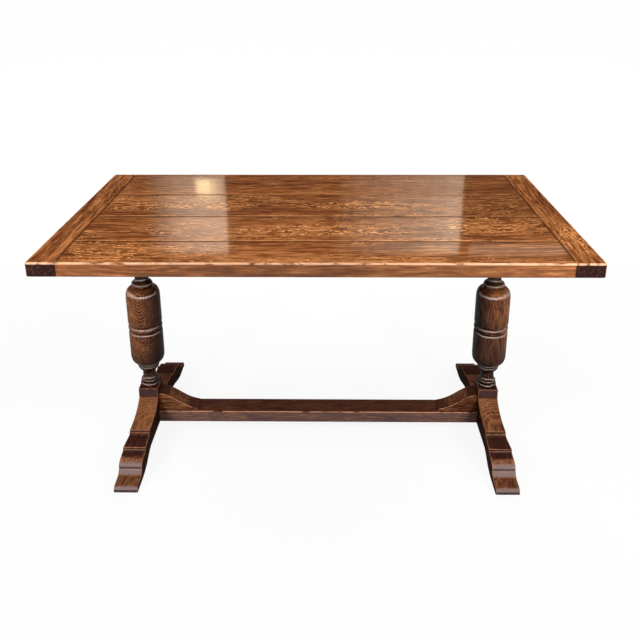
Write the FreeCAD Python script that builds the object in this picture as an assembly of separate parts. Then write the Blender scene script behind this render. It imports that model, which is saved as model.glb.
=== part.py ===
import FreeCAD, Part
import os

# Refectory table in oak, in millimetres.
# The origin is on the floor under the middle of the table.
# X runs along the table, Y from front to back, Z up.

# The whole table
table_length = 1524.0
table_height = 775.0
end_overhang = 186.0

# Fits shared by all the joinery
joint_clearance = 0.1
end_clearance = 0.5
same_level = 0.001

# Top: four boards from back to front, and a cleat across each end
back_board_width = 253.0
mid_back_board_width = 229.0
mid_front_board_width = 217.0
front_board_width = 165.0
top_thickness = 40.0
cleat_width = 80.0
corner_radius = 9.0
top_arris_radius = 4.0
bottom_arris_radius = 2.0
seam_chamfer = 1.0

# Tongues on the ends of the boards, in stopped grooves in the cleats
end_tongue_length = 24.0
end_tongue_thickness = 13.0
groove_stop = 28.0

# Loose tongues in the edge joints between the boards
loose_tongue_width = 24.0
loose_tongue_thickness = 8.0
loose_tongue_stop = 40.0

# Pegs through cleats and end tongues, driven from below
cleat_peg_radius = 4.5
cleat_peg_cover = 9.0

# Feet: one stepped outline, the same towards the front and the back
foot_length = 752.0
foot_height = 152.0
block_width = 65.0
toe_width = 72.0
block_length = 76.0
block_face = 31.0
tread_height = 71.0
tread_length = 67.5
upper_riser = 6.5
upper_ledge = 6.5
toe_length = 126.0
lower_riser = 5.0
lower_ledge = 4.0
roll_length = 56.0
roll_drop = 20.0
quirk_depth = 3.5
quirk_height = 6.5
cove_bend = 6.5
cove_run = 19.5
cove_rise = 1.0
toe_height = 20.5
nose_length = 18.0
nose_lip = 5.0
pad_length = 66.0
arch_height = 24.0
arch_rise_length = 140.0

# Bearers: the block and sweep of a foot turned over, with plain tapered ends
bearer_length = 640.0
bearer_block_height = 113.0
bearer_sweep_length = 138.0
bearer_sweep_depth = 50.0
bearer_end_depth = 34.0

# Columns: turned radii
barrel_radius = 55.5
neck_radius = 21.5
torus_radius = 32.0
ring_radius = 29.0
lower_bead_radius = 34.5
upper_bead_radius = 39.0
collar_radius = 34.5
shoulder_radius = 35.5
bead_edge_step = 3.0
barrel_foot_ease = 7.0
barrel_shoulder_ease = 8.0
barrel_groove_spacing = 21.0
barrel_groove_width = 9.0
barrel_groove_depth = 4.5
barrel_groove_drop = 3.5

# Columns: turned heights, counted up from the foot or down from the bearer
torus_height = 14.0
ring_height = 11.0
cavetto_height = 18.0
base_neck_height = 8.0
base_flare_height = 13.0
lower_bead_height = 13.0
upper_bead_height = 10.4
barrel_foot_height = 31.0
top_neck_height = 26.0
collar_cove_height = 19.0
collar_height = 18.0
barrel_shoulder_height = 34.0
turned_step = 1.0

# Round tenons on both ends of the columns, with wedges
tenon_radius = 20.0
tenon_web = 26.0
wedge_length = 30.0
wedge_thickness = 4.0
wedge_tip = 1.0
wedge_width = 34.0

# Stretcher
stretcher_width = 80.0
stretcher_thickness = 41.0
stretcher_arris = 3.0
stretcher_tenon_length = 48.0
stretcher_side_shoulder = 10.0
stretcher_face_shoulder = 9.5
stretcher_peg_radius = 5.0
stretcher_peg_inset = 20.0
stretcher_peg_spacing = 34.0
stretcher_peg_reach = 5.0

# Brackets between the stretcher and the feet
bracket_length = 130.0
bracket_height = 62.0
bracket_set_back = 9.0
bracket_end_height = 6.5
bracket_arris = 1.6

# Dowels from the brackets into the feet
dowel_radius = 4.0
dowel_depth = 15.0
dowel_spacing = 32.0
dowel_height = 9.0

# Wood screws
screw_radius = 2.5
screw_head_radius = 5.0
screw_head_height = 3.0
screw_point_length = 6.0
screw_slot_width = 1.2
screw_slot_depth = 1.4
pocket_radius = 7.0
top_screw_seat = 29.0
top_screw_bite = 14.0
inner_screw_clear = 67.0
outer_screw_inset = 30.0
bracket_screw_bite = 18.0
near_bracket_screw = 28.0
far_bracket_screw = 62.0

# Shapes of the curves, as shares of each curve's own run, drop or height
sweep_bend_run = 0.2
sweep_bend_drop = 0.7
sweep_flat_run = 0.5
roll_flat_run = 0.6
roll_fall_drop = 0.5
nose_flat_run = 0.6
nose_fall_height = 0.7
arch_ease_run = 0.33
bracket_crest_run = 0.37
bracket_hollow_run = 0.54
bracket_hollow_height = 0.26
turned_bend = 0.33
turned_flat = 0.5

# Levels and lines that follow from those sizes
board_widths = (
    back_board_width,
    mid_back_board_width,
    mid_front_board_width,
    front_board_width,
)
board_names = ("board_back", "board_mid_back", "board_mid_front", "board_front")
tongue_names = ("tongue_back", "tongue_middle", "tongue_front")
table_width = sum(board_widths)
half_length = table_length / 2
half_width = table_width / 2
underside = table_height - top_thickness
shoulder_x = half_length - cleat_width
seams = [half_width - sum(board_widths[:n]) for n in range(len(board_widths) + 1)]
tongue_level = underside + top_thickness / 2
peg_top = table_height - cleat_peg_cover
column_spacing = table_length - 2 * end_overhang
column_x = column_spacing / 2
inner_face_x = column_x - block_width / 2
half_block = block_length / 2
tread_end = foot_length / 2 - toe_length
tread_start = tread_end - tread_length
sweep_end = tread_start - upper_ledge
bearer_foot = underside - bearer_block_height
bearer_sweep_end = half_block + bearer_sweep_length
stretcher_foot = arch_height
stretcher_top = stretcher_foot + stretcher_thickness
stretcher_level = stretcher_foot + stretcher_thickness / 2
stretcher_tenon_width = stretcher_width - 2 * stretcher_side_shoulder
stretcher_tenon_top = stretcher_top - stretcher_face_shoulder
stretcher_peg_top = stretcher_tenon_top + stretcher_peg_reach
bracket_depth = stretcher_width - 2 * bracket_set_back
tenon_foot = stretcher_tenon_top + tenon_web
base_height = torus_height + ring_height + turned_step + cavetto_height
inner_screw_y = half_block + inner_screw_clear
outer_screw_y = bearer_length / 2 - outer_screw_inset

SIDES = {"left": -1, "right": 1}
TURNS = (-1, 1)
UP = FreeCAD.Vector(0, 0, 1)


# Plain shapes
def box(low, high):
    """A box between two corners."""
    size = [b - a for a, b in zip(low, high)]
    return Part.makeBox(*size, FreeCAD.Vector(*low))


def rod(radius, start, end):
    """A round bar from one point to another."""
    first = FreeCAD.Vector(*start)
    along = FreeCAD.Vector(*end) - first
    return Part.makeCylinder(radius, along.Length, first, along)


def outline(start, steps, place):
    """A closed face: a step of one point is a straight run, of two an arc, of three a Bezier curve."""
    edges = []
    here = place(*start)
    for step in steps + [[start]]:
        reached = [place(*point) for point in step]
        if len(reached) == 1:
            curve = Part.LineSegment(here, reached[0])
        elif len(reached) == 2:
            curve = Part.Arc(here, *reached)
        else:
            curve = Part.BezierCurve()
            curve.setPoles([here] + reached)
        edges.append(curve.toShape())
        here = reached[-1]
    return Part.Face(Part.Wire(edges))


def shifted(steps, rule):
    """The same steps with each point put through a rule."""
    return [[rule(*point) for point in step] for step in steps]


def walked_back(start, steps):
    """The same steps walked from their end to their start."""
    starts = [start] + [step[-1] for step in steps[:-1]]
    return [step[-2::-1] + [first] for step, first in zip(reversed(steps), reversed(starts))]


def mirrored(shape, across):
    """The same shape on the other side of a plane through the origin."""
    return shape.mirror(FreeCAD.Vector(0, 0, 0), FreeCAD.Vector(*across))


def ease(shape, radius, chosen):
    """Rounds the edges that the test picks out."""
    return shape.makeFillet(radius, [e for e in shape.Edges if chosen(e)])


def lies_on(edge, axis, level):
    """True where every point of an edge is at one level along an axis."""
    size = edge.BoundBox
    low = (size.XMin, size.YMin, size.ZMin)[axis]
    high = (size.XMax, size.YMax, size.ZMax)[axis]
    return abs(low - level) < same_level and abs(high - level) < same_level


def along_x(edge):
    """True for a straight edge parallel to X."""
    size = edge.BoundBox
    return size.YLength < same_level and size.ZLength < same_level


# Wood screws: slotted countersunk head, shank and point
def screw(seat, length):
    """Points up: the head's flat is at the seat and the point is a length above it."""
    neck = seat + UP * screw_head_height
    tip_start = seat + UP * (length - screw_point_length)
    head = Part.makeCone(screw_head_radius, screw_radius, screw_head_height, seat, UP)
    shank = Part.makeCylinder(screw_radius, (tip_start - neck).Length, neck, UP)
    point = Part.makeCone(screw_radius, 0, screw_point_length, tip_start, UP)
    slot = box(
        (-screw_head_radius, -screw_slot_width / 2, 0),
        (screw_head_radius, screw_slot_width / 2, screw_slot_depth),
    )
    slot.translate(seat)
    return head.fuse([shank, point]).removeSplitter().cut(slot)


def screw_hole(seat, length):
    """The hole that a screw leaves, with its clearance."""
    grown = joint_clearance
    neck = seat + UP * screw_head_height
    head = Part.makeCone(
        screw_head_radius + grown, screw_radius + grown, screw_head_height, seat, UP
    )
    bore = Part.makeCylinder(screw_radius + grown, length - screw_head_height + grown, neck, UP)
    return head.fuse(bore)


top_screw_length = top_screw_seat + top_screw_bite
top_screw_seats = [
    FreeCAD.Vector(side * column_x, turn * reach, underside - top_screw_seat)
    for side in SIDES.values()
    for turn in TURNS
    for reach in (inner_screw_y, outer_screw_y)
]
top_screw_holes = [screw_hole(seat, top_screw_length) for seat in top_screw_seats]
bracket_screw_length = stretcher_thickness + bracket_screw_bite
bracket_screw_seats = [
    FreeCAD.Vector(side * (inner_face_x - reach), 0, stretcher_foot)
    for side in SIDES.values()
    for reach in (near_bracket_screw, far_bracket_screw)
]
bracket_screw_holes = [screw_hole(seat, bracket_screw_length) for seat in bracket_screw_seats]


# Pegs and dowels
def pegs(spots, radius, low, high):
    """Upright pegs, or the holes for them, at a list of places."""
    return [rod(radius, (x, y, low), (x, y, high)) for x, y in spots]


def dowels(side, grown):
    """The dowels of one bracket, or with some growth their holes."""
    height = stretcher_top + dowel_height
    reach = dowel_depth + grown
    return [
        rod(
            dowel_radius + grown,
            (side * (inner_face_x - reach), turn * dowel_spacing / 2, height),
            (side * (inner_face_x + reach), turn * dowel_spacing / 2, height),
        )
        for turn in TURNS
    ]


cleat_peg_spots = [
    (side * (shoulder_x + end_tongue_length / 2), (seams[n] + seams[n + 1]) / 2)
    for side in SIDES.values()
    for n in range(len(board_widths))
]
cleat_peg_holes = pegs(cleat_peg_spots, cleat_peg_radius + joint_clearance, underside, peg_top)
stretcher_peg_spots = [
    (side * (inner_face_x + stretcher_peg_inset), turn * stretcher_peg_spacing / 2)
    for side in SIDES.values()
    for turn in TURNS
]
stretcher_peg_holes = pegs(
    stretcher_peg_spots, stretcher_peg_radius + joint_clearance, stretcher_foot, stretcher_peg_top
)


# Top: the pieces are cut from one rounded slab
def top_slab():
    """The whole top, with rounded corners and worn arrises."""
    whole = box((-half_length, -half_width, underside), (half_length, half_width, table_height))
    whole = ease(whole, corner_radius, lambda e: e.BoundBox.ZLength > same_level)
    whole = ease(whole, top_arris_radius, lambda e: lies_on(e, 2, table_height))
    return ease(whole, bottom_arris_radius, lambda e: lies_on(e, 2, underside))


def seam_vee(start, end):
    """A three-sided bar that cuts the vee of a joint along the top surface."""
    first = FreeCAD.Vector(*start)
    along = FreeCAD.Vector(*end) - first
    across = along.cross(UP).normalize() * seam_chamfer
    corners = [first + across, first - UP * seam_chamfer, first - across]
    return Part.Face(Part.makePolygon(corners + corners[:1])).extrude(along)


def loose_tongue(seam, grown):
    """The loose tongue of one edge joint, or with some growth its groove."""
    reach = shoulder_x - loose_tongue_stop + grown
    half = loose_tongue_width / 2 + grown
    thick = loose_tongue_thickness / 2 + grown
    return box(
        (-reach, seam - half, tongue_level - thick),
        (reach, seam + half, tongue_level + thick),
    )


def end_tongues(grown):
    """The bar that holds the tongues at both ends of the boards, or with some growth their grooves."""
    reach = shoulder_x + end_tongue_length + grown
    side = half_width - groove_stop + grown
    thick = end_tongue_thickness / 2 + grown
    return box((-reach, -side, tongue_level - thick), (reach, side, tongue_level + thick))


slab = top_slab()
board_vees = [
    seam_vee((-shoulder_x, y, table_height), (shoulder_x, y, table_height)) for y in seams[1:-1]
]
cleat_vees = [
    seam_vee((x, -half_width, table_height), (x, half_width, table_height))
    for x in (-shoulder_x, shoulder_x)
]


def board(n):
    """One board with its end tongues, edge grooves and the holes for pegs and screws."""
    back, front = seams[n], seams[n + 1]
    body = box((-shoulder_x, front, underside), (shoulder_x, back, table_height)).common(slab)
    strip = box((-half_length, front, underside), (half_length, back, table_height))
    body = body.fuse(end_tongues(0).common(strip)).removeSplitter()
    grooves = [loose_tongue(y, joint_clearance) for y in seams[1:-1] if y in (back, front)]
    return body.cut(grooves + board_vees + cleat_vees + cleat_peg_holes + top_screw_holes)


def cleat(side):
    """One end cleat with its stopped groove and peg holes."""
    end = box((shoulder_x, -half_width, underside), (half_length, half_width, table_height))
    if side < 0:
        end = mirrored(end, (1, 0, 0))
    return slab.common(end).cut([end_tongues(joint_clearance)] + cleat_vees + cleat_peg_holes)


# Feet and bearers
def profiled(start, steps, x, width):
    """A solid of one width about a line at x, with the same outline to the front and the back."""
    face = outline(start, steps, lambda d, z: FreeCAD.Vector(x - width / 2, d, z))
    half = face.extrude(FreeCAD.Vector(width, 0, 0))
    return half.fuse(mirrored(half, (0, 1, 0))).removeSplitter()


def foot_profile():
    """Half of a foot's outline, from the middle to the toe, as distance and height."""
    toe = foot_length / 2
    sweep_top = foot_height - block_face
    sweep_low = tread_height + 2 * upper_riser
    sweep_run = sweep_end - half_block
    roll_start = tread_end + lower_ledge
    roll_top = tread_height - 2 * lower_riser
    roll_end = roll_start + roll_length
    roll_low = roll_top - roll_drop
    cove_start = roll_end + quirk_depth / 2
    nose_start = toe - nose_length
    pad_start = toe - pad_length
    arch_end = pad_start - arch_rise_length
    arch_ease = arch_rise_length * arch_ease_run
    block = [[(half_block, foot_height)], [(half_block, sweep_top)]]
    hollow_sweep = [
        [
            (half_block + sweep_run * sweep_bend_run, sweep_top - (sweep_top - sweep_low) * sweep_bend_drop),
            (half_block + sweep_run * sweep_flat_run, sweep_low),
            (sweep_end, sweep_low),
        ],
        [(sweep_end, sweep_low - upper_riser)],
        [(tread_start, sweep_low - upper_riser)],
        [(tread_start, tread_height)],
    ]
    tread = [
        [(tread_end, tread_height)],
        [(tread_end, tread_height - lower_riser)],
        [(roll_start, tread_height - lower_riser)],
        [(roll_start, roll_top)],
    ]
    roll = [
        [
            (roll_start + roll_length * roll_flat_run, roll_top),
            (roll_end, roll_low + roll_drop * roll_fall_drop),
            (roll_end, roll_low),
        ],
        [(roll_end - quirk_depth, roll_low - quirk_height / 2)],
        [(cove_start, roll_low - quirk_height)],
    ]
    toe_end = [
        [
            (cove_start + cove_bend, toe_height + cove_rise),
            (cove_start + cove_run, toe_height),
            (nose_start, toe_height),
        ],
        [
            (nose_start + nose_length * nose_flat_run, toe_height),
            (toe, toe_height * nose_fall_height),
            (toe, nose_lip),
        ],
        [(toe - nose_lip / 2, 0)],
    ]
    arch = [
        [(pad_start, 0)],
        [(pad_start - arch_ease, 0), (arch_end + arch_ease, arch_height), (arch_end, arch_height)],
        [(0, arch_height)],
    ]
    return (0, foot_height), block + hollow_sweep + tread + roll + toe_end + arch


def foot_plan(x):
    """A prism of the foot's plan: narrow at the block and the sweeps, wider at the toes."""
    waist = block_width / 2
    broad = toe_width / 2
    toe = foot_length / 2
    corner = [(waist, sweep_end), (broad, tread_end), (broad, toe)]
    front_right = [(dx, -y) for dx, y in corner]
    right = list(reversed(front_right)) + corner
    left = [(-dx, y) for dx, y in reversed(right)]
    points = right + left
    face = outline(points[0], [[p] for p in points[1:]], lambda dx, y: FreeCAD.Vector(x + dx, y, 0))
    return face.extrude(UP * foot_height)


def stretcher_tenon(side, grown):
    """The stretcher's tenon at one end, or with some growth its mortise."""
    half = stretcher_tenon_width / 2 + grown
    thick = stretcher_tenon_top - stretcher_level + grown
    near = side * inner_face_x
    far = side * (inner_face_x + stretcher_tenon_length + grown)
    return box(
        (min(near, far), -half, stretcher_level - thick),
        (max(near, far), half, stretcher_level + thick),
    )


def foot(side):
    """One foot with its holes for the column, the stretcher, the pegs and the dowels."""
    x = side * column_x
    body = profiled(*foot_profile(), x, toe_width).common(foot_plan(x))
    socket = rod(tenon_radius + joint_clearance, (x, 0, tenon_foot), (x, 0, foot_height))
    mortise = stretcher_tenon(side, joint_clearance)
    return body.cut([socket, mortise] + stretcher_peg_holes + dowels(side, joint_clearance))


def bearer_profile():
    """Half of a bearer's outline, hanging from the underside of the top."""
    end = bearer_length / 2
    sweep_low = bearer_foot + block_face
    sweep_level = underside - bearer_sweep_depth
    steps = [
        [(end, underside)],
        [(end, underside - bearer_end_depth)],
        [(bearer_sweep_end, sweep_level)],
        [
            (half_block + bearer_sweep_length * sweep_flat_run, sweep_level),
            (
                half_block + bearer_sweep_length * sweep_bend_run,
                sweep_low + (sweep_level - sweep_low) * sweep_bend_drop,
            ),
            (half_block, sweep_low),
        ],
        [(half_block, bearer_foot)],
        [(0, bearer_foot)],
    ]
    return (0, underside), steps


def bearer(side):
    """One bearer with its holes for the column and the screws."""
    x = side * column_x
    socket = rod(tenon_radius + joint_clearance, (x, 0, bearer_foot), (x, 0, underside))
    pockets = [
        rod(pocket_radius, (seat.x, seat.y, bearer_foot), tuple(seat)) for seat in top_screw_seats
    ]
    return profiled(*bearer_profile(), x, block_width).cut([socket] + pockets + top_screw_holes)


# Columns
def base_turning():
    """Half of a base moulding, as radius and height above its seat: torus, ring and hollow."""
    ring_top = torus_height + ring_height
    ring_edge = ring_radius - 2 * turned_step
    steps = [
        [(torus_radius, torus_height / 2), (ring_radius, torus_height)],
        [(ring_edge, torus_height + turned_step)],
        [(ring_radius, torus_height + ring_height / 2), (ring_edge, ring_top)],
        [(ring_edge - turned_step, ring_top + turned_step)],
        [
            (neck_radius + turned_step, ring_top + cavetto_height * turned_bend),
            (neck_radius, ring_top + cavetto_height * turned_flat),
            (neck_radius, base_height),
        ],
    ]
    return ((torus_radius + ring_radius) / 2, 0), steps


def bead_turning(z):
    """The lower neck, its flare and the two beads under the barrel, from one height up."""
    flare_start = z + base_neck_height
    flare_end = flare_start + base_flare_height
    lower_edge = lower_bead_radius - bead_edge_step
    lower_start = flare_end + turned_step
    lower_end = lower_start + lower_bead_height
    upper_edge = upper_bead_radius - bead_edge_step
    upper_end = lower_end + upper_bead_height
    return upper_end + turned_step, [
        [(neck_radius, flare_start)],
        [
            (neck_radius, flare_start + base_flare_height * turned_flat),
            (lower_edge - 2 * turned_step, flare_end - base_flare_height * turned_bend),
            (lower_edge - turned_step, flare_end),
        ],
        [(lower_edge, lower_start)],
        [(lower_bead_radius, lower_start + lower_bead_height / 2), (lower_edge, lower_end)],
        [(upper_edge - turned_step, lower_end + turned_step)],
        [(upper_bead_radius, lower_end + upper_bead_height / 2), (upper_edge, upper_end)],
    ]


def barrel_turning(low, shoulder):
    """The barrel between two heights, rounded under and over, with its pair of grooves."""
    straight_low = low + barrel_foot_height
    straight_high = shoulder - barrel_shoulder_height
    middle = (straight_low + straight_high) / 2 - barrel_groove_drop
    steps = [
        [(upper_bead_radius, low)],
        [
            (barrel_radius - barrel_foot_ease, low),
            (barrel_radius, low + barrel_foot_height * turned_bend),
            (barrel_radius, straight_low),
        ],
    ]
    for turn in TURNS:
        groove = middle + turn * barrel_groove_spacing / 2
        steps += [
            [(barrel_radius, groove - barrel_groove_width / 2)],
            [(barrel_radius - barrel_groove_depth, groove)],
            [(barrel_radius, groove + barrel_groove_width / 2)],
        ]
    return steps + [
        [(barrel_radius, straight_high)],
        [
            (barrel_radius, shoulder - barrel_shoulder_height * turned_bend),
            (barrel_radius - barrel_shoulder_ease, shoulder),
            (shoulder_radius, shoulder),
        ],
    ]


def collar_turning(shoulder, collar_top):
    """The collar over the barrel and the hollow that leads to the upper neck."""
    edge = collar_radius - bead_edge_step
    return [
        [(edge, shoulder + turned_step)],
        [(collar_radius, shoulder + collar_height / 2), (edge, collar_top)],
        [(edge - 2 * turned_step, collar_top + turned_step)],
        [
            (neck_radius + turned_step, collar_top + collar_cove_height * turned_bend),
            (neck_radius, collar_top + collar_cove_height * turned_flat),
            (neck_radius, collar_top + collar_cove_height),
        ],
    ]


def column_turning():
    """The turned outline from the foot to the bearer, as radius and height."""
    base_start, base = base_turning()
    collar_top = bearer_foot - base_height - top_neck_height - collar_cove_height
    shoulder = collar_top - collar_height
    barrel_low, beads = bead_turning(foot_height + base_height)
    lower_base = shifted(base, lambda r, h: (r, foot_height + h))
    upper_base = shifted(walked_back(base_start, base), lambda r, h: (r, bearer_foot - h))
    middle = beads + barrel_turning(barrel_low, shoulder) + collar_turning(shoulder, collar_top)
    start = (base_start[0], foot_height)
    return start, lower_base + middle + [[(neck_radius, bearer_foot - base_height)]] + upper_base


def column(side):
    """One column, with a round tenon at each end slotted for its wedge."""
    x = side * column_x
    start, steps = column_turning()
    steps = steps + [[(0, bearer_foot)], [(0, foot_height)]]
    face = outline(start, steps, lambda r, z: FreeCAD.Vector(x + r, 0, z))
    turned = face.revolve(FreeCAD.Vector(x, 0, 0), UP, 360)
    lower = rod(tenon_radius, (x, 0, tenon_foot + end_clearance), (x, 0, foot_height))
    upper = rod(tenon_radius, (x, 0, bearer_foot), (x, 0, underside - end_clearance))
    slots = [lower_wedge(side, joint_clearance), upper_wedge(side, joint_clearance)]
    return turned.fuse([lower, upper]).removeSplitter().cut(slots)


def wedge(side, mouth, towards, grown):
    """A flat wedge across a tenon, from its mouth at one level towards its tip."""
    x = side * column_x
    tip = mouth + towards * (wedge_length + grown)
    thick = wedge_thickness / 2 + grown
    thin = wedge_tip / 2 + grown
    half = wedge_width / 2 + grown
    corners = [[(thick, mouth)], [(thin, tip)], [(-thin, tip)]]
    face = outline((-thick, mouth), corners, lambda d, z: FreeCAD.Vector(x + d, -half, z))
    return face.extrude(FreeCAD.Vector(0, 2 * half, 0))


def lower_wedge(side, grown):
    """The wedge in the blind end of the tenon in the foot."""
    return wedge(side, tenon_foot + end_clearance, 1, grown)


def upper_wedge(side, grown):
    """The wedge in the end of the tenon through the bearer."""
    return wedge(side, underside - end_clearance, -1, grown)


# Stretcher and brackets
def stretcher():
    """The low rail, with a tenon at each end and holes for pegs and screws."""
    half = stretcher_width / 2
    rail = box((-inner_face_x, -half, stretcher_foot), (inner_face_x, half, stretcher_top))
    rail = ease(rail, stretcher_arris, along_x)
    rail = rail.fuse([stretcher_tenon(side, 0) for side in SIDES.values()]).removeSplitter()
    return rail.cut(stretcher_peg_holes + bracket_screw_holes)


def bracket_profile():
    """A bracket's outline, as distance from the foot and height over the stretcher."""
    ogee = [
        (bracket_length * bracket_crest_run, bracket_height),
        (bracket_length * bracket_hollow_run, bracket_height * bracket_hollow_height),
        (bracket_length, bracket_end_height),
    ]
    return (0, 0), [[(0, bracket_height)], ogee, [(bracket_length, 0)]]


def bracket(side):
    """One ogee block on the stretcher, against the foot."""
    half = bracket_depth / 2
    face = outline(
        *bracket_profile(),
        lambda d, h: FreeCAD.Vector(side * (inner_face_x - d), -half, stretcher_top + h),
    )
    block = face.extrude(FreeCAD.Vector(0, bracket_depth, 0))
    block = ease(
        block,
        bracket_arris,
        lambda e: min(e.BoundBox.XLength, e.BoundBox.ZLength) > same_level,
    )
    return block.cut(dowels(side, joint_clearance) + bracket_screw_holes)


# Nodes
nodes = {name: board(n) for n, name in enumerate(board_names)}
nodes.update({name: loose_tongue(seam, 0) for name, seam in zip(tongue_names, seams[1:-1])})
for hand, side in SIDES.items():
    nodes["cleat_" + hand] = cleat(side)
    nodes["bearer_" + hand] = bearer(side)
    nodes["column_" + hand] = column(side)
    nodes["foot_" + hand] = foot(side)
    nodes["bracket_" + hand] = bracket(side)
nodes["stretcher"] = stretcher()

groups = {
    "cleat_pegs": pegs(cleat_peg_spots, cleat_peg_radius, underside, peg_top - end_clearance),
    "top_screws": [screw(seat, top_screw_length) for seat in top_screw_seats],
    "upper_wedges": [upper_wedge(side, 0) for side in SIDES.values()],
    "lower_wedges": [lower_wedge(side, 0) for side in SIDES.values()],
    "stretcher_pegs": pegs(
        stretcher_peg_spots, stretcher_peg_radius, stretcher_foot, stretcher_peg_top - end_clearance
    ),
    "bracket_screws": [screw(seat, bracket_screw_length) for seat in bracket_screw_seats],
    "bracket_dowels": [dowel for side in SIDES.values() for dowel in dowels(side, 0)],
}
nodes.update({name: Part.makeCompound(shapes) for name, shapes in groups.items()})

os.makedirs("parts", exist_ok=True)
for name, shape in nodes.items():
    shape.exportStep("parts/" + name + ".step")
    print(name, len(shape.Solids), shape.isValid(), round(shape.Volume))
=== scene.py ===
# %% [markdown]
# # An oak refectory table
# The packed CAD model gives every piece of the table at its real size and place, in metres.
# This lesson dresses it: each piece that shows is remade with the edges, curves and oak that
# the real table has, and each hidden piece keeps its CAD shape and gets a finish of its own.
# Nothing is moved or resized, so a new piece always lies where its CAD node lies.

# %% Load the frame
import math
from collections import namedtuple

import bmesh
import bpy
from mathutils import Matrix, Vector, noise


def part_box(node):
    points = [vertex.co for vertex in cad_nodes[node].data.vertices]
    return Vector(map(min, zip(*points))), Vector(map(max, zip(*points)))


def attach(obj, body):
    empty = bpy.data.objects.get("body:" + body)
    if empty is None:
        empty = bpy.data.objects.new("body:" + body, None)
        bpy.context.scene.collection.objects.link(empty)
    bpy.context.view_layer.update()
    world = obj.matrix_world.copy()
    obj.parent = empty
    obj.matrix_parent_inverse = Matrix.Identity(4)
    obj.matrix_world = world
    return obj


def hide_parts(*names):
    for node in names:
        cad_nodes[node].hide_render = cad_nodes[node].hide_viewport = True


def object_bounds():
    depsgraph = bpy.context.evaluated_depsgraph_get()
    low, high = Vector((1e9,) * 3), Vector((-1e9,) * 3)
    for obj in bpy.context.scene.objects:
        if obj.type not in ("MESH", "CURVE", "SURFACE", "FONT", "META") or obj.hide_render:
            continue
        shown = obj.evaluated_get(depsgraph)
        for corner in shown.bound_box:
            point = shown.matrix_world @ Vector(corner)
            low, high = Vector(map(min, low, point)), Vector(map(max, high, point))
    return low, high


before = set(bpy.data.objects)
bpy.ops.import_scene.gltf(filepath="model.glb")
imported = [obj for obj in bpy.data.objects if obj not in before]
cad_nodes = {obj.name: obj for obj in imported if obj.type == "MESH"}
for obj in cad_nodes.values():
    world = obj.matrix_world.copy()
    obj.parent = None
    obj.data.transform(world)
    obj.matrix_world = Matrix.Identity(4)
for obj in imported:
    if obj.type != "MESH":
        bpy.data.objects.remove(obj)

cad_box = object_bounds()
table_size = cad_box[1] - cad_box[0]
hands = {"left": -1, "right": 1}
mm = 0.001
print("frame:", len(cad_nodes), "nodes,", [round(side, 3) for side in table_size], "m")

# %% [markdown]
# ## Camera
# The photograph's camera was worked out from the straight edges of the top, the toes of the
# feet and the two column axes. It stands in front of the table at standing height and looks down.
# It could be aimed at a point, but then its roll would be lost, so its three turns are given instead.
# The optical centre is above the middle of the picture, which Blender calls a shift.

# %% Camera
picture_side = 640
focal_pixels = 734.51
optical_row = 215
sensor_width = 36
view_reach = 200
camera_place = Vector((0.04019, -2.20241, 1.50741))
camera_pitch = math.radians(18.699)
camera_yaw = math.radians(-0.808)
camera_roll = math.radians(0.194)


def aim(yaw, pitch, roll):
    """The turn of a camera: yaw to the right, pitch down and roll clockwise."""
    ahead = Vector((math.sin(yaw) * math.cos(pitch), math.cos(yaw) * math.cos(pitch), -math.sin(pitch)))
    right = Vector((math.cos(yaw), -math.sin(yaw), 0))
    down = ahead.cross(right)
    rolled_right = right * math.cos(roll) + down * math.sin(roll)
    rolled_down = down * math.cos(roll) - right * math.sin(roll)
    return Matrix((rolled_right, -rolled_down, -ahead)).transposed().to_euler()


camera_data = bpy.data.cameras.new("camera")
camera_data.sensor_width = sensor_width
camera_data.lens = focal_pixels / picture_side * sensor_width
camera_data.shift_y = (optical_row - picture_side / 2) / picture_side
camera_data.clip_end = view_reach
camera = bpy.data.objects.new("camera", camera_data)
camera.location = camera_place
camera.rotation_euler = aim(camera_yaw, camera_pitch, camera_roll)
bpy.context.scene.collection.objects.link(camera)
bpy.context.scene.camera = camera
bpy.context.scene.view_settings.view_transform = "Standard"
print("camera: lens", round(camera_data.lens, 2), "mm, shift", round(camera_data.shift_y, 3))

# %% [markdown]
# ## A pen for node trees
# Finishes are sums of patterns, and sums read best as sums. This small class wraps one socket of
# a node tree: plain arithmetic on it adds Math nodes, and its one method for any other node takes
# the node's type, its settings and what goes into its sockets. It works in any kind of node tree.


# %% The pen
def pick(sockets, place):
    """A socket by its number or by its identifier."""
    if isinstance(place, int):
        return sockets[place]
    return next(socket for socket in sockets if socket.identifier == place)


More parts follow.
